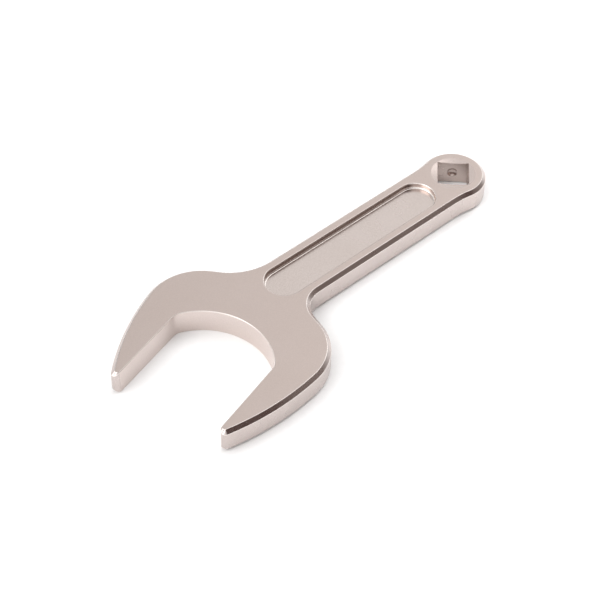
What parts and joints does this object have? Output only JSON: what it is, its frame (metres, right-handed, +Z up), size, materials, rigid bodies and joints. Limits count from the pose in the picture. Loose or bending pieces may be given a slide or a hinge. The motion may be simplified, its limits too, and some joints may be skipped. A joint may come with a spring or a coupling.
{
  "type": "open-end wrench",
  "caption": "Flat solid open-end wrench with an angled C-shaped jaw, a pocket in each face of its handle and a square drive hole in the handle end, satin metal.",
  "frame": {"origin": "on the axis of the square drive hole, at the level of the underside the wrench lies on", "axes": "+Z up through the thickness, along the drive axis; the handle runs along X with the jaw at the -X end; the jaw's centre line points to -X turned 15 degrees towards -Y"},
  "size_m": [0.1874, 0.0783, 0.011],
  "materials": {
    "body": "satin, bead blasted"
  },
  "bodies": {
    "root": {"wrench_body": "body"}
  },
  "joints": []
}
